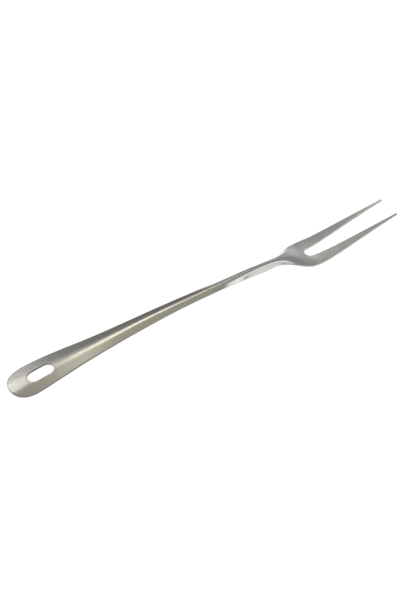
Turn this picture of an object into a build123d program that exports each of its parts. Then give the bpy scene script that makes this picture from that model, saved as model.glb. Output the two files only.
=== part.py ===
from build123d import *
from math import cos, radians, sin, tan
import os

import numpy as np

# Two-tine cooking fork, pressed from one sheet of stainless steel.
# +X runs from the handle end to the tine tips, +Y to one side, +Z up, in millimetres.
# The origin is under the middle of the fork, on the surface that it rests on.

LENGTH = 330.0
SHEET = 1.5

# The pressed form, each as pairs of distance from the handle end and value.
# Height of the ridge's upper face above the resting surface
RIDGE_HEIGHT = [(0, 1.9), (30, 6.3), (70, 8.8), (120, 11.4), (170, 11.8), (205, 12.1),
                (225, 10.7), (240, 7.35), (246, 4.5), (250, 2.8), (254, 2.1), (262, 1.93),
                (275, 3.3), (300, 7.1), (330, 11.5)]
# Half of the width, over the outer edges
HALF_WIDTH = [(0, 13.6), (20, 13.4), (60, 9.6), (110, 6.3), (160, 4.6), (200, 4.0), (218, 3.3),
              (228, 4.7), (236, 8.3), (244, 12.3), (252, 14.2), (262, 14.1), (280, 13.1),
              (305, 11.6), (330, 10.3)]
# How steeply the two sides fall away from the ridge, in degrees: shallow in the handle,
# turned down into flanges in the neck, nearly flat in the head
SIDE_SLOPE = [(0, 8.2), (20, 8.1), (70, 10.7), (120, 16.4), (170, 28.5), (200, 67), (225, 71),
              (240, 28), (252, 5), (262, 3), (300, 2.5), (330, 2.5)]
# Share of the half-width that the rounded ridge takes up; the rest is straight
ROUNDED_SHARE = [(0, 0.55), (30, 0.36), (70, 0.38), (110, 0.36), (160, 0.45), (205, 0.75),
                 (240, 0.85), (330, 0.9)]

# The domed handle end: how long it is, and how full its corners are (0.55 is an ellipse)
END_LENGTH = 16.8
END_FULLNESS = 0.64

# The hanging slot, along the handle
SLOT_START = 14.8
SLOT_END = 35.0
SLOT_WIDTH = 9.7

# The gap between the tines: a round root, and sides that spread towards the tips
GAP_ROOT = 252.0
GAP_ROOT_RADIUS = 4.1
GAP_MIDDLE_HALF_WIDTH = 6.8
GAP_TIP_HALF_WIDTH = 8.8

# Number of sections that the pressed form is lofted through, and a height that clears it
SECTIONS = 45
CLEAR_HEIGHT = 40.0


def smooth_curve(stations):
    """Return the natural cubic spline through pairs of distance and value."""
    x, y = np.array(stations, dtype=float).T
    step = np.diff(x)
    rise = np.diff(y) / step
    system = np.eye(len(x))
    bend = np.zeros(len(x))
    for i in range(1, len(x) - 1):
        system[i, i - 1 : i + 2] = step[i - 1], 2 * (step[i - 1] + step[i]), step[i]
        bend[i] = 6 * (rise[i] - rise[i - 1])
    bend = np.linalg.solve(system, bend)

    def value(distance):
        i = min(max(int(np.searchsorted(x, distance)) - 1, 0), len(step) - 1)
        after, before = distance - x[i], x[i + 1] - distance
        curved = (bend[i] * before**3 + bend[i + 1] * after**3) / (6 * step[i])
        from_start = (y[i] / step[i] - bend[i] * step[i] / 6) * before
        from_end = (y[i + 1] / step[i] - bend[i + 1] * step[i] / 6) * after
        return float(curved + from_start + from_end)

    return value


ridge_height = smooth_curve(RIDGE_HEIGHT)
half_width = smooth_curve(HALF_WIDTH)
side_slope = smooth_curve(SIDE_SLOPE)
rounded_share = smooth_curve(ROUNDED_SHARE)


def along(distance):
    """Return the X of a place that is this far from the handle end."""
    return distance - LENGTH / 2


def roof_line(peak, width, slope, radius):
    """Draw two straight sides and the round ridge between them. Return the edges' height."""
    shoulder = radius * sin(slope)
    shoulder_height = peak - radius * (1 - cos(slope))
    edge_height = shoulder_height - (width - shoulder) * tan(slope)
    handle = 4 / 3 * tan(slope / 2) * radius
    handle_across, handle_up = handle * cos(slope), handle * sin(slope)
    Line((-width, edge_height), (-shoulder, shoulder_height))
    Bezier(
        (-shoulder, shoulder_height),
        (-shoulder + handle_across, shoulder_height + handle_up),
        (shoulder - handle_across, shoulder_height + handle_up),
        (shoulder, shoulder_height),
    )
    Line((shoulder, shoulder_height), (width, edge_height))
    return edge_height


def sheet_section(distance):
    """Draw the sheet's cross-section: its upper face, its lower face and two square-cut edges."""
    width = half_width(distance)
    slope = radians(side_slope(distance))
    radius = rounded_share(distance) * width / sin(slope)
    inner_width = width - SHEET * sin(slope)
    plane = Plane((along(distance), 0, ridge_height(distance)), x_dir=(0, 1, 0), z_dir=(1, 0, 0))
    with BuildSketch(plane) as section:
        with BuildLine():
            edge = roof_line(0, width, slope, radius)
            inner_edge = roof_line(-SHEET, inner_width, slope, radius - SHEET)
            for side in (-1, 1):
                Line((side * width, edge), (side * inner_width, inner_edge))
        make_face()
    return section.sketch


with BuildPart() as fork:
    # The pressed sheet, at its full width up to both ends
    loft([sheet_section(LENGTH * i / (SECTIONS - 1)) for i in range(SECTIONS)])

    # The handle end is cut to a dome
    dome_tip = along(0)
    dome_start = along(END_LENGTH)
    dome_width = half_width(END_LENGTH)
    outside = dome_tip - SHEET
    with BuildSketch():
        with BuildLine():
            dome = Bezier(
                (dome_start, dome_width),
                (dome_start - END_FULLNESS * END_LENGTH, dome_width),
                (dome_tip, END_FULLNESS * dome_width),
                (dome_tip, 0),
            )
            Polyline(
                dome @ 1,
                (outside, 0),
                (outside, 2 * dome_width),
                (dome_start, 2 * dome_width),
                dome @ 0,
            )
        make_face()
        mirror(about=Plane.XZ)
    extrude(amount=CLEAR_HEIGHT, both=True, mode=Mode.SUBTRACT)

    # The hanging slot
    with BuildSketch():
        with Locations((along((SLOT_START + SLOT_END) / 2), 0)):
            SlotOverall(SLOT_END - SLOT_START, SLOT_WIDTH)
    extrude(amount=CLEAR_HEIGHT, both=True, mode=Mode.SUBTRACT)

    # The gap between the tines
    root_centre = GAP_ROOT + GAP_ROOT_RADIUS
    middle = (root_centre + LENGTH) / 2
    with BuildSketch():
        with BuildLine():
            side = Spline(
                (along(root_centre), GAP_ROOT_RADIUS),
                (along(middle), GAP_MIDDLE_HALF_WIDTH),
                (along(LENGTH), GAP_TIP_HALF_WIDTH),
            )
            Polyline(side @ 1, (along(LENGTH), 0), (along(root_centre), 0), side @ 0)
        make_face()
        mirror(about=Plane.XZ)
        with Locations((along(root_centre), 0)):
            Circle(GAP_ROOT_RADIUS)
    extrude(amount=CLEAR_HEIGHT, both=True, mode=Mode.SUBTRACT)

fork.part.label = "fork"
box = fork.part.bounding_box()
print("from", box.min, "to", box.max, "volume", fork.part.volume, "valid", fork.part.is_valid)

os.makedirs("parts", exist_ok=True)
export_step(fork.part, "parts/fork.step")
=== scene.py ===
from collections import namedtuple
from math import cos, pi, radians, sin

import bmesh
import bpy
import numpy as np
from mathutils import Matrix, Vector


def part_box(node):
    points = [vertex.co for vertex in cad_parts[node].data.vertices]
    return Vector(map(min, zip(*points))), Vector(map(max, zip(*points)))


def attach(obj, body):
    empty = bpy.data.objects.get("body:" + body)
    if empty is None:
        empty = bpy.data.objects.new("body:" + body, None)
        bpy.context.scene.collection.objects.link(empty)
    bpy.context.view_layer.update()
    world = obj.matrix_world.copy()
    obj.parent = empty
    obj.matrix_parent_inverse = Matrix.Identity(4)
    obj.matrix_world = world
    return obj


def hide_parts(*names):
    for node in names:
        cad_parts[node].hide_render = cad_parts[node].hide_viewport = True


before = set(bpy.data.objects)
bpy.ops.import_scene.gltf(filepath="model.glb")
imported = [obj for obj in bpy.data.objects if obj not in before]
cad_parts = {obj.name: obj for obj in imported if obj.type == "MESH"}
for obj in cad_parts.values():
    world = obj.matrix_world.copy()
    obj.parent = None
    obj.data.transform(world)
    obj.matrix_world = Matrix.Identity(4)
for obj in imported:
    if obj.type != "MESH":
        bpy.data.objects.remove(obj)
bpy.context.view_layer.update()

# Two-tine cooking fork pressed from one stainless steel sheet, in metres, in the CAD frame:
# +X from the handle end to the tine tips, +Z up from the surface that it rests on.

MM = 0.001
handle_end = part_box("fork")[0].x

# ---- Driving dimensions, in millimetres, at distances from the handle end ----

LENGTH = (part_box("fork")[1].x - handle_end) / MM
SHEET = 1.5
RIDGE_HEIGHT = [(0, 1.9), (30, 6.3), (70, 8.8), (120, 11.4), (170, 11.8), (205, 12.1),
                (225, 10.7), (240, 7.35), (246, 4.5), (250, 2.8), (254, 2.1), (262, 1.93),
                (275, 3.3), (300, 7.1), (330, 11.5)]
HALF_WIDTH = [(0, 13.6), (20, 13.4), (60, 9.6), (110, 6.3), (160, 4.6), (200, 4.0), (218, 3.3),
              (228, 4.7), (236, 8.3), (244, 12.3), (252, 14.2), (262, 14.1), (280, 13.1),
              (305, 11.6), (330, 10.3)]
SIDE_SLOPE = [(0, 8.2), (20, 8.1), (70, 10.7), (120, 16.4), (170, 28.5), (200, 67), (225, 71),
              (240, 28), (252, 5), (262, 3), (300, 2.5), (330, 2.5)]
ROUNDED_SHARE = [(0, 0.55), (30, 0.36), (70, 0.38), (110, 0.36), (160, 0.45), (205, 0.75),
                 (240, 0.85), (330, 0.9)]

END_LENGTH = 16.8
END_FULLNESS = 0.64
SLOT_START = 14.8
SLOT_END = 35.0
SLOT_WIDTH = 9.7
GAP_ROOT = 252.0
GAP_ROOT_RADIUS = 4.1
GAP_MIDDLE_HALF_WIDTH = 6.8
GAP_TIP_HALF_WIDTH = 8.8
TIP_CORNER = 0.55
EDGE_RADIUS = 0.32
# How far to either side of a point the surface's slope is measured
NORMAL_STEP = 0.02
# Points closer than this are welded, in metres
WELD = 1e-7

# The edge is left as it was sheared up to the neck, and ground smoother towards the tines, so its roughness,
# painted highlight and painted shade fade towards the tines
NECK = 200.0
TINE_EDGE_CUT = 0.2

# Where the grid around the slot ends, and where the tines' rows turn square
RING_END = 43.0
SHOULDER = 244.0
TINE_START = 268.0
# Shares of the slot's half outline that face the dome, and the dome and the side together
SLOT_TO_DOME = 0.36
SLOT_TO_SIDE = 0.78

# How finely the grid divides each stretch
ACROSS = 20
RING_ACROSS = 14
DOME_ROWS = 26
SIDE_ROWS = 30
BODY_ROWS = 230
ROOT_ROWS = 14
TINE_ROWS = 56
CORNER_ROWS = 5
ARC_STEPS = 4
ROW_SAMPLES = 161


# ---- The pressed form ----

def smooth_curve(stations):
    """Return the natural cubic spline through pairs of distance and value, for arrays."""
    x, y = np.array(stations, dtype=float).T
    step = np.diff(x)
    rise = np.diff(y) / step
    system = np.eye(len(x))
    bend = np.zeros(len(x))
    for i in range(1, len(x) - 1):
        system[i, i - 1:i + 2] = step[i - 1], 2 * (step[i - 1] + step[i]), step[i]
        bend[i] = 6 * (rise[i] - rise[i - 1])
    bend = np.linalg.solve(system, bend)

    def value(distance):
        i = np.clip(np.searchsorted(x, distance) - 1, 0, len(step) - 1)
        after, before = distance - x[i], x[i + 1] - distance
        curved = (bend[i] * before**3 + bend[i + 1] * after**3) / (6 * step[i])
        from_start = (y[i] / step[i] - bend[i] * step[i] / 6) * before
        from_end = (y[i + 1] / step[i] - bend[i + 1] * step[i] / 6) * after
        return curved + from_start + from_end

    return value


ridge_height = smooth_curve(RIDGE_HEIGHT)
half_width = smooth_curve(HALF_WIDTH)
side_slope = smooth_curve(SIDE_SLOPE)
rounded_share = smooth_curve(ROUNDED_SHARE)


def height(u, v):
    """Return the height of the sheet's upper face at u along the fork and v to its side."""
    slope = np.radians(side_slope(u))
    shoulder = rounded_share(u) * half_width(u)
    radius = shoulder / np.sin(slope)
    side = np.abs(v)
    on_ridge = radius - np.sqrt(np.maximum(radius**2 - np.minimum(side, shoulder)**2, 0))
    on_side = np.maximum(side - shoulder, 0) * np.tan(slope)
    return ridge_height(u) - on_ridge - on_side


def surface(plan):
    """Return points on the upper face over plan points (u, v)."""
    return np.column_stack([plan, height(plan[:, 0], plan[:, 1])])


def surface_normals(plan):
    """Return the upper face's unit normals over plan points."""
    u, v = plan.T
    rise_along = (height(u + NORMAL_STEP, v) - height(u - NORMAL_STEP, v)) / (2 * NORMAL_STEP)
    rise_across = (height(u, v + NORMAL_STEP) - height(u, v - NORMAL_STEP)) / (2 * NORMAL_STEP)
    normals = np.column_stack([-rise_along, -rise_across, np.ones(len(u))])
    return normals / np.linalg.norm(normals, axis=1, keepdims=True)


# ---- Outlines in plan, for the half with v above 0 ----

def dome(rows):
    """Return the handle end's outline from its tip to its full width, as a cubic curve."""
    width = half_width(END_LENGTH)
    ends = np.array([(0, 0), (0, END_FULLNESS * width),
                     (END_LENGTH * (1 - END_FULLNESS), width), (END_LENGTH, width)])
    t = np.linspace(0, 1, rows)[:, None]
    return ((1 - t)**3 * ends[0] + 3 * (1 - t)**2 * t * ends[1]
            + 3 * (1 - t) * t**2 * ends[2] + t**3 * ends[3])


def slot_side(fractions):
    """Return slot outline points at fractions of its half outline, from its back to its front."""
    radius = SLOT_WIDTH / 2
    quarter = radius * pi / 2
    straight = SLOT_END - SLOT_START - SLOT_WIDTH
    travel = np.asarray(fractions) * (2 * quarter + straight)
    back = np.clip(travel / radius, 0, pi / 2)
    front = np.clip((travel - quarter - straight) / radius, 0, pi / 2)
    run = np.clip(travel - quarter, 0, straight)
    u = SLOT_START + radius * (1 - np.cos(back)) + run + radius * np.sin(front)
    v = radius * (np.sin(back) + np.cos(front) - 1)
    return np.column_stack([u, v])


def gap_side(u):
    """Return the half-width of the gap between the tines, past its round root."""
    root_centre = GAP_ROOT + GAP_ROOT_RADIUS
    middle = (root_centre + LENGTH) / 2
    places = [root_centre, middle, LENGTH]
    widths = [GAP_ROOT_RADIUS, GAP_MIDDLE_HALF_WIDTH, GAP_TIP_HALF_WIDTH]
    return np.polyval(np.polyfit(places, widths, 2), u)


def spread(start, end, count):
    """Return count plan points in a straight line between two."""
    t = np.linspace(0, 1, count)[:, None]
    return (1 - t) * np.asarray(start, float) + t * np.asarray(end, float)


# ---- The grid over the upper face, for the same half ----

# Plan points moved in from a cut edge, with the edge's own points, their normals and the ways out
Edge = namedtuple("Edge", "plan points normals out")


def outward(points, normals, opposite):
    """Return directions in the surface, square to a line of edge points and away from others."""
    out = np.cross(np.gradient(points, axis=0), normals)
    out[np.isclose(points[:, 1], 0), 1] = 0
    out /= np.linalg.norm(out, axis=1, keepdims=True)
    return out * np.sign(np.sum(out * (points - opposite), axis=1, keepdims=True))


def inset(edge, opposite):
    """Move edge points in by the edge radius, and keep the frames that the edge is rounded on."""
    points = surface(edge)
    normals = surface_normals(edge)
    out = outward(points, normals, surface(opposite))
    return Edge((points - EDGE_RADIUS * out)[:, :2], points, normals, out)


def row(start, end, count):
    """Return count plan points from start to end, evenly spaced over the pressed surface."""
    fine = spread(start, end, ROW_SAMPLES)
    steps = np.linalg.norm(np.diff(surface(fine), axis=0), axis=1)
    travel = np.concatenate([[0], np.cumsum(steps)])
    wanted = np.linspace(0, travel[-1], count)
    return np.column_stack([np.interp(wanted, travel, fine[:, 0]), np.interp(wanted, travel, fine[:, 1])])


def grid_between(inner, outer, count):
    """Return the rows of plan points between two lines of points."""
    return np.array([row(a, b, count) for a, b in zip(inner, outer)])


def axis(u):
    """Return plan points on the fork's centre line."""
    return np.column_stack([u, np.zeros(len(u))])


def outline(u):
    """Return plan points on the blank's outer edge."""
    return np.column_stack([u, half_width(u)])


def tine_outlines():
    """Return the gap's side and the outer side of a tine, point for point, root to rounded tip."""
    root_end = GAP_ROOT + GAP_ROOT_RADIUS
    turn = np.linspace(0, pi / 2, ROOT_ROWS)
    root = GAP_ROOT_RADIUS * np.column_stack([-np.cos(turn), np.sin(turn)]) + (root_end, 0)
    fork_u = np.linspace(root_end, TINE_START, ROOT_ROWS)[1:]
    tine_u = np.linspace(TINE_START, LENGTH - TIP_CORNER, TINE_ROWS)[1:]
    corner = np.linspace(0, pi / 2, CORNER_ROWS)[1:]
    tip_u = LENGTH - TIP_CORNER * (1 - np.sin(corner))
    straight_u = np.concatenate([fork_u, tine_u, tip_u])
    narrower = np.concatenate([np.zeros(len(fork_u) + len(tine_u)), TIP_CORNER * (1 - np.cos(corner))])
    inner = np.concatenate([root, np.column_stack([straight_u, gap_side(straight_u) + narrower])])
    outer_u = np.concatenate([np.linspace(SHOULDER, TINE_START, 2 * ROOT_ROWS - 1), tine_u, tip_u])
    outer = outline(outer_u)
    outer[ROOT_ROWS:, 1] -= narrower
    return inner, outer


class SheetMesh:
    """Collects the quads of half a fork: its two faces and its rounded edges."""

    def __init__(self):
        self.points, self.quads, self.cut = [], [], []

    def add_grid(self, points, facing, cut):
        """Add a grid of points, turned so that its faces look the way that facing points."""
        rows, columns = points.shape[:2]
        base = len(self.points)
        self.points.extend(points.reshape(-1, 3))
        self.cut.extend(np.broadcast_to(cut, (rows, columns)).ravel())
        down = points[1:, :-1] - points[:-1, :-1]
        right = points[:-1, 1:] - points[:-1, :-1]
        faces_right = np.sum(np.cross(down, right) * facing[:-1, :-1]) > 0
        for i in range(rows - 1):
            for j in range(columns - 1):
                corner = base + i * columns + j
                quad = [corner, corner + columns, corner + columns + 1, corner + 1]
                self.quads.append(quad if faces_right else quad[::-1])

    def add_faces(self, plan):
        """Add the upper and the lower face over a grid of plan points."""
        flat = plan.reshape(-1, 2)
        normals = surface_normals(flat)
        upper = surface(flat)
        lower = upper - SHEET * normals
        shape = (*plan.shape[:2], 3)
        self.add_grid(upper.reshape(shape), normals.reshape(shape), 0)
        self.add_grid(lower.reshape(shape), -normals.reshape(shape), 0)

    def add_edge(self, plan, points, normals, out):
        """Add the rounded cut edge along a line of edge points, from the upper face to the lower."""
        turns = np.linspace(0, pi / 2, ARC_STEPS + 1)[1:]
        levels = [surface(plan)]
        for turn in turns:
            back, down = EDGE_RADIUS * (1 - sin(turn)), EDGE_RADIUS * (1 - cos(turn))
            levels.append(points - back * out - down * normals)
        for turn in turns[::-1]:
            back, up = EDGE_RADIUS * (1 - sin(turn)), EDGE_RADIUS * (1 - cos(turn))
            levels.append(points - back * out - (SHEET - up) * normals)
        levels.append(surface(plan) - SHEET * surface_normals(plan))
        # The cut value runs from the face to the middle of the edge; it places the edge's painted highlight
        # and painted shade, and its extra roughness
        rounded = np.append(0, turns / (pi / 2))
        edge_shade_and_roughness = np.interp(plan[:, 0], [NECK, GAP_ROOT], [1, TINE_EDGE_CUT])
        strip = np.array(levels).swapaxes(0, 1)
        facing = np.broadcast_to(out[:, None], strip.shape)
        self.add_grid(strip, facing, np.outer(edge_shade_and_roughness, np.append(rounded, rounded[::-1])))


def build_half():
    """Build half of the fork: the grid around the slot, the handle, a tine, and the edges."""
    around_dome = np.concatenate([dome(DOME_ROWS), outline(np.linspace(END_LENGTH, RING_END, SIDE_ROWS))[1:]])
    body = np.linspace(RING_END, GAP_ROOT, BODY_ROWS)
    body_side = np.linspace(RING_END, SHOULDER, BODY_ROWS)
    gap, tine_side = tine_outlines()
    slot_turn = np.concatenate([
        np.linspace(0, SLOT_TO_DOME, DOME_ROWS),
        np.linspace(SLOT_TO_DOME, SLOT_TO_SIDE, SIDE_ROWS)[1:],
        np.linspace(SLOT_TO_SIDE, 1, ACROSS + 1)[1:],
    ])
    slot = slot_side(slot_turn)

    ring_rows = len(around_dome)
    outer = np.concatenate([around_dome, outline(body_side)[1:], tine_side[1:]])
    opposite = np.concatenate([slot[:ring_rows], axis(body)[1:], gap[1:]])
    outer_edge = inset(outer, opposite)
    gap_edge = inset(gap, tine_side)
    tip_edge = inset(spread(gap[-1], tine_side[-1], ACROSS + 1), spread(gap[-2], tine_side[-2], ACROSS + 1))
    for edge in (outer_edge, gap_edge):
        edge.out[-1] = tip_edge.out[0]
        edge.plan[-1] = (edge.points[-1] - EDGE_RADIUS * edge.out[-1])[:2]

    ring_front = row((RING_END, 0), outer_edge.plan[ring_rows - 1], ACROSS + 1)[::-1]
    ring_outer = np.concatenate([outer_edge.plan[:ring_rows], ring_front[1:]])
    slot_edge = inset(slot, ring_outer)
    body_inner = axis(body)
    body_inner[-1] = gap_edge.plan[0]
    body_outer = outer_edge.plan[ring_rows - 1:ring_rows - 1 + BODY_ROWS]
    tine_outer = outer_edge.plan[ring_rows - 2 + BODY_ROWS:]
    tine_grid = grid_between(gap_edge.plan, tine_outer, ACROSS + 1)
    tip_edge.plan[:] = tine_grid[-1]
    for end, neighbour in ((0, gap_edge), (-1, outer_edge)):
        tip_edge.points[end] = neighbour.points[-1]
        tip_edge.normals[end] = neighbour.normals[-1]

    mesh = SheetMesh()
    mesh.add_faces(grid_between(slot_edge.plan, ring_outer, RING_ACROSS + 1))
    mesh.add_faces(grid_between(body_inner, body_outer, ACROSS + 1))
    mesh.add_faces(tine_grid)
    for edge in (outer_edge, gap_edge, slot_edge, tip_edge):
        mesh.add_edge(*edge)
    return mesh


def fork_piece():
    """Make the fork's object: half a sheet, welded and mirrored across the XZ plane."""
    half = build_half()
    points = np.array(half.points) * MM + (handle_end, 0, 0)
    mesh = bpy.data.meshes.new("fork_sheet")
    mesh.from_pydata(points.tolist(), [], half.quads)
    cut = mesh.attributes.new("cut", "FLOAT", "POINT")
    cut.data.foreach_set("value", np.array(half.cut, dtype=np.float32))
    welded = bmesh.new()
    welded.from_mesh(mesh)
    bmesh.ops.remove_doubles(welded, verts=welded.verts, dist=WELD)
    welded.to_mesh(mesh)
    welded.free()
    mesh.shade_smooth()
    piece = bpy.data.objects.new("fork_sheet", mesh)
    bpy.context.collection.objects.link(piece)
    mirror = piece.modifiers.new("other half", "MIRROR")
    mirror.use_axis = (False, True, False)
    mirror.merge_threshold = WELD
    return piece


# ---- Material ----

# Brush marks and broad clouding: size along X, Y and Z in metres, and how much they darken
FINE_GRAIN = (0.00022, 0.009, 0.009)
COARSE_GRAIN = (0.0007, 0.012, 0.012)
CLOUD = (0.03, 0.02, 0.02)
FINE_CONTRAST = 0.08
COARSE_CONTRAST = 0.035
CLOUD_CONTRAST = 0.05
# Shares of the noise's range at which a mark is darkest and lightest
DARKEST, LIGHTEST = 0.25, 0.75
# How deep the brush marks are, in metres
FINE_DEPTH = 0.000001
COARSE_DEPTH = 0.0000007
# How much the brushing stretches highlights
BRUSHED = 0.75
# The steel is a little warmer on the handle than on the head: X where one ends and the other starts
WARM_STEEL = (0.69, 0.675, 0.63)
NEUTRAL_STEEL = (0.655, 0.65, 0.655)
WARM_END, NEUTRAL_START = -0.01, 0.06
# Roughness of the steel from its smoothest to its roughest marks, and what the cut edge adds
SMOOTHEST, ROUGHEST = 0.24, 0.34
CUT_ROUGHNESS = 0.12
# Painted highlight and shade on the edge, as brightness from the faces (0), over the rounded corner's painted
# highlight, to the middle of the cut edge (1), darkened partly as the duller sheared wall and partly as
# painted shade
DULL_EDGE_AND_PAINTED_LIGHT = [(0, 0.9), (0.15, 1), (0.4, 0.55), (1, 0.2)]

# The colour mix node's sockets, which share their names with those of its other data types
MIX_FIRST, MIX_SECOND, MIX_RESULT = 6, 7, 2


def ramp(nodes, links, value, stops):
    """Add a colour ramp driven by value; stops are (place, colour) pairs."""
    node = nodes.new("ShaderNodeValToRGB")
    while len(node.color_ramp.elements) < len(stops):
        node.color_ramp.elements.new(0.5)
    for element, (place, colour) in zip(node.color_ramp.elements, stops):
        element.position = place
        element.color = (*colour, 1)
    links.new(value, node.inputs["Fac"])
    return node.outputs["Color"]


def grey(level):
    """Return a grey colour."""
    return (level, level, level)


def brush_noise(nodes, links, place, size, detail):
    """Add a noise whose grains have this size along X, Y and Z, in metres."""
    stretch = nodes.new("ShaderNodeMapping")
    stretch.inputs["Scale"].default_value = [1 / side for side in size]
    links.new(place, stretch.inputs["Vector"])
    noise = nodes.new("ShaderNodeTexNoise")
    noise.inputs["Scale"].default_value = 1
    noise.inputs["Detail"].default_value = detail
    links.new(stretch.outputs["Vector"], noise.inputs["Vector"])
    return noise.outputs["Fac"]


def multiply(nodes, links, first, second):
    """Add a mix node that multiplies two colours."""
    node = nodes.new("ShaderNodeMix")
    node.data_type = "RGBA"
    node.blend_type = "MULTIPLY"
    node.inputs["Factor"].default_value = 1
    links.new(first, node.inputs[MIX_FIRST])
    links.new(second, node.inputs[MIX_SECOND])
    return node.outputs[MIX_RESULT]


def base_colour(nodes, links, place, marks, cut):
    """Return the steel's colour: warm to neutral along the fork, with brush marks, and with the cut edge's
    painted highlight and painted shade.
    """
    along = nodes.new("ShaderNodeSeparateXYZ")
    links.new(place, along.inputs["Vector"])
    reach = nodes.new("ShaderNodeMapRange")
    reach.inputs["From Min"].default_value = WARM_END
    reach.inputs["From Max"].default_value = NEUTRAL_START
    links.new(along.outputs["X"], reach.inputs["Value"])
    colour = ramp(nodes, links, reach.outputs["Result"], [(0, WARM_STEEL), (1, NEUTRAL_STEEL)])
    for noise, contrast in marks:
        shade = ramp(nodes, links, noise, [(DARKEST, grey(1 - contrast)), (LIGHTEST, grey(1))])
        colour = multiply(nodes, links, colour, shade)
    # Painted highlight on the rounded edge corners and painted shade on the cut walls, partly the sheared
    # wall's duller colour
    dull_edge_and_painted_light = ramp(nodes, links, cut, [(share, grey(level)) for share, level in DULL_EDGE_AND_PAINTED_LIGHT])
    return multiply(nodes, links, colour, dull_edge_and_painted_light)


def roughness(nodes, links, noise, cut):
    """Return the steel's roughness: uneven along the brush marks, and more on the cut edge."""
    rough = nodes.new("ShaderNodeMapRange")
    rough.inputs["To Min"].default_value = SMOOTHEST
    rough.inputs["To Max"].default_value = ROUGHEST
    links.new(noise, rough.inputs["Value"])
    worn = nodes.new("ShaderNodeMath")
    worn.operation = "MULTIPLY_ADD"
    worn.inputs[1].default_value = CUT_ROUGHNESS
    links.new(cut, worn.inputs[0])
    links.new(rough.outputs["Result"], worn.inputs[2])
    return worn.outputs["Value"]


def relief(nodes, links, layers):
    """Return the normal of one bump over another; layers are (noise, depth in metres) pairs."""
    normal = None
    for noise, depth in layers:
        bump = nodes.new("ShaderNodeBump")
        bump.inputs["Strength"].default_value = 1
        bump.inputs["Distance"].default_value = depth
        links.new(noise, bump.inputs["Height"])
        if normal:
            links.new(normal, bump.inputs["Normal"])
        normal = bump.outputs["Normal"]
    return normal


def steel():
    """Satin stainless steel, brushed across the fork, with a painted highlight on the rounded edge corners
    and painted shade on the duller, rougher cut walls.
    """
    material = bpy.data.materials.new("satin_steel")
    material.use_nodes = True
    nodes, links = material.node_tree.nodes, material.node_tree.links
    shader = nodes["Principled BSDF"]
    shader.inputs["Metallic"].default_value = 1
    shader.inputs["Anisotropic"].default_value = BRUSHED

    place = nodes.new("ShaderNodeTexCoord").outputs["Object"]
    fine = brush_noise(nodes, links, place, FINE_GRAIN, detail=2)
    coarse = brush_noise(nodes, links, place, COARSE_GRAIN, detail=3)
    cloud = brush_noise(nodes, links, place, CLOUD, detail=2)
    attribute = nodes.new("ShaderNodeAttribute")
    attribute.attribute_name = "cut"
    cut = attribute.outputs["Fac"]
    lay = nodes.new("ShaderNodeCombineXYZ")
    lay.inputs["X"].default_value = 1

    marks = ((fine, FINE_CONTRAST), (coarse, COARSE_CONTRAST), (cloud, CLOUD_CONTRAST))
    links.new(base_colour(nodes, links, place, marks, cut), shader.inputs["Base Color"])
    links.new(roughness(nodes, links, coarse, cut), shader.inputs["Roughness"])
    links.new(lay.outputs["Vector"], shader.inputs["Tangent"])
    layers = ((coarse, COARSE_DEPTH), (fine, FINE_DEPTH))
    links.new(relief(nodes, links, layers), shader.inputs["Normal"])
    return material


# ---- Studio ----

# The camera: distances in metres, and the lens in millimetres
VIEW_AZIMUTH = radians(56.6)
VIEW_ELEVATION = radians(44.3)
VIEW_DISTANCE = 1.338
LENS = 110.1
VIEW_REACH = 10
# How far the camera stands to the left of the line through the origin
AIM_ASIDE = 0.0055

FLOOR_HALF_SIDE = 3.0
FLOOR_COLOUR = 0.5
FLOOR_GLOW = 0.85
FLOOR_ROUGHNESS = 0.9

# Colour of the studio's walls by the Z of the direction, from the horizon (0) to straight up (1)
WALLS = [
    (0, (0.6, 0.6, 0.59)),
    (0.36, (0.66, 0.66, 0.65)),
    (0.54, (0.54, 0.54, 0.53)),
    (0.72, (0.42, 0.42, 0.415)),
    (0.85, (0.56, 0.56, 0.545)),
    (0.91, (0.74, 0.71, 0.59)),
]

# Darker patches of the walls, with angles in degrees: full within one angle of the direction,
# and gone beyond the other
Patch = namedtuple("Patch", "azimuth elevation within beyond level")
DARK_PATCHES = [
    Patch(azimuth=72, elevation=20, within=14, beyond=22, level=0.33),
    Patch(azimuth=66, elevation=0, within=8, beyond=20, level=0.4),
    Patch(azimuth=-20, elevation=40, within=44, beyond=52, level=0.72),
    Patch(azimuth=104, elevation=66, within=8, beyond=21, level=0.35),
]

# Soft lights, with sizes in metres and power in watts
Softbox = namedtuple("Softbox", "name place aim size power colour")
SOFTBOXES = [
    Softbox("ridge_light", (0.035, 0.162, 0.287), (-0.08, 0, 0), (0.14, 0.08), 0.09, (1, 0.97, 0.82)),
    Softbox("end_light", (-0.163, 0.205, 0.225), (-0.157, 0, 0), (0.05, 0.15), 0.066, (1, 0.99, 0.97)),
    Softbox("tip_light", (0.3, 0.22, 0.25), (0.155, 0.01, 0.011), (0.03, 0.04), 0.015, (1, 0.94, 0.7)),
    Softbox("side_light", (0.42, -0.57, 0.38), (0.03, 0, 0), (0.4, 0.5), 0.9, (1, 1, 1)),
]


def direction(azimuth, elevation):
    """Return the unit vector at this azimuth and elevation."""
    return Vector((cos(elevation) * cos(azimuth), cos(elevation) * sin(azimuth), sin(elevation)))


def add_camera():
    """Add the camera at the photograph's viewing angle."""
    forward = direction(VIEW_AZIMUTH, -VIEW_ELEVATION)
    right = forward.cross(Vector((0, 0, 1))).normalized()
    data = bpy.data.cameras.new("camera")
    data.lens = LENS
    data.clip_end = VIEW_REACH
    camera = bpy.data.objects.new("camera", data)
    camera.location = -AIM_ASIDE * right - VIEW_DISTANCE * forward
    camera.rotation_euler = forward.to_track_quat("-Z", "Y").to_euler()
    bpy.context.collection.objects.link(camera)
    bpy.context.scene.camera = camera


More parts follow.
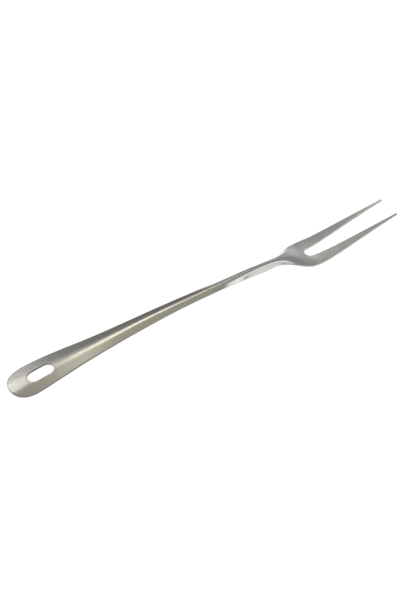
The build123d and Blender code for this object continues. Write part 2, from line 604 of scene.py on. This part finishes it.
def add_softbox(box):
    """Add a rectangular soft light at a place, turned to an aim."""
    data = bpy.data.lights.new(box.name, "AREA")
    data.shape = "RECTANGLE"
    data.size, data.size_y = box.size
    data.energy = box.power
    data.color = box.colour
    light = bpy.data.objects.new(box.name, data)
    light.location = box.place
    light.rotation_euler = (Vector(box.aim) - Vector(box.place)).to_track_quat("-Z", "Y").to_euler()
    bpy.context.collection.objects.link(light)


def add_floor():
    """Add the plain white floor, which glows so that it stays white beside the lights."""
    half = FLOOR_HALF_SIDE
    corners = [(-half, -half, 0), (half, -half, 0), (half, half, 0), (-half, half, 0)]
    data = bpy.data.meshes.new("floor")
    data.from_pydata(corners, [], [(0, 1, 2, 3)])
    floor = bpy.data.objects.new("floor", data)
    bpy.context.collection.objects.link(floor)
    material = bpy.data.materials.new("floor")
    material.use_nodes = True
    shader = material.node_tree.nodes["Principled BSDF"]
    shader.inputs["Base Color"].default_value = (*grey(FLOOR_COLOUR), 1)
    shader.inputs["Roughness"].default_value = FLOOR_ROUGHNESS
    shader.inputs["Specular IOR Level"].default_value = 0
    shader.inputs["Emission Color"].default_value = (*grey(1), 1)
    shader.inputs["Emission Strength"].default_value = FLOOR_GLOW
    data.materials.append(material)


def darkening(nodes, links, place, patch):
    """Return a grey that is the patch's level around its direction, and 1 away from it."""
    dot = nodes.new("ShaderNodeVectorMath")
    dot.operation = "DOT_PRODUCT"
    dot.inputs[1].default_value = direction(radians(patch.azimuth), radians(patch.elevation))
    links.new(place, dot.inputs[0])
    fade = nodes.new("ShaderNodeMapRange")
    fade.interpolation_type = "SMOOTHSTEP"
    fade.inputs["From Min"].default_value = cos(radians(patch.beyond))
    fade.inputs["From Max"].default_value = cos(radians(patch.within))
    links.new(dot.outputs["Value"], fade.inputs["Value"])
    return ramp(nodes, links, fade.outputs["Result"], [(0, grey(1)), (1, grey(patch.level))])


def add_world():
    """Surround the studio with soft grey walls that have a few darker patches."""
    world = bpy.data.worlds.new("studio")
    bpy.context.scene.world = world
    world.use_nodes = True
    nodes, links = world.node_tree.nodes, world.node_tree.links
    place = nodes.new("ShaderNodeTexCoord").outputs["Generated"]
    height_above = nodes.new("ShaderNodeSeparateXYZ")
    links.new(place, height_above.inputs["Vector"])
    colour = ramp(nodes, links, height_above.outputs["Z"], WALLS)
    for patch in DARK_PATCHES:
        colour = multiply(nodes, links, colour, darkening(nodes, links, place, patch))
    links.new(colour, nodes["Background"].inputs["Color"])


piece = fork_piece()
piece.data.materials.append(steel())
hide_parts("fork")
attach(piece, "root")

add_floor()
add_world()
for box in SOFTBOXES:
    add_softbox(box)
add_camera()
bpy.context.scene.view_settings.view_transform = "Standard"
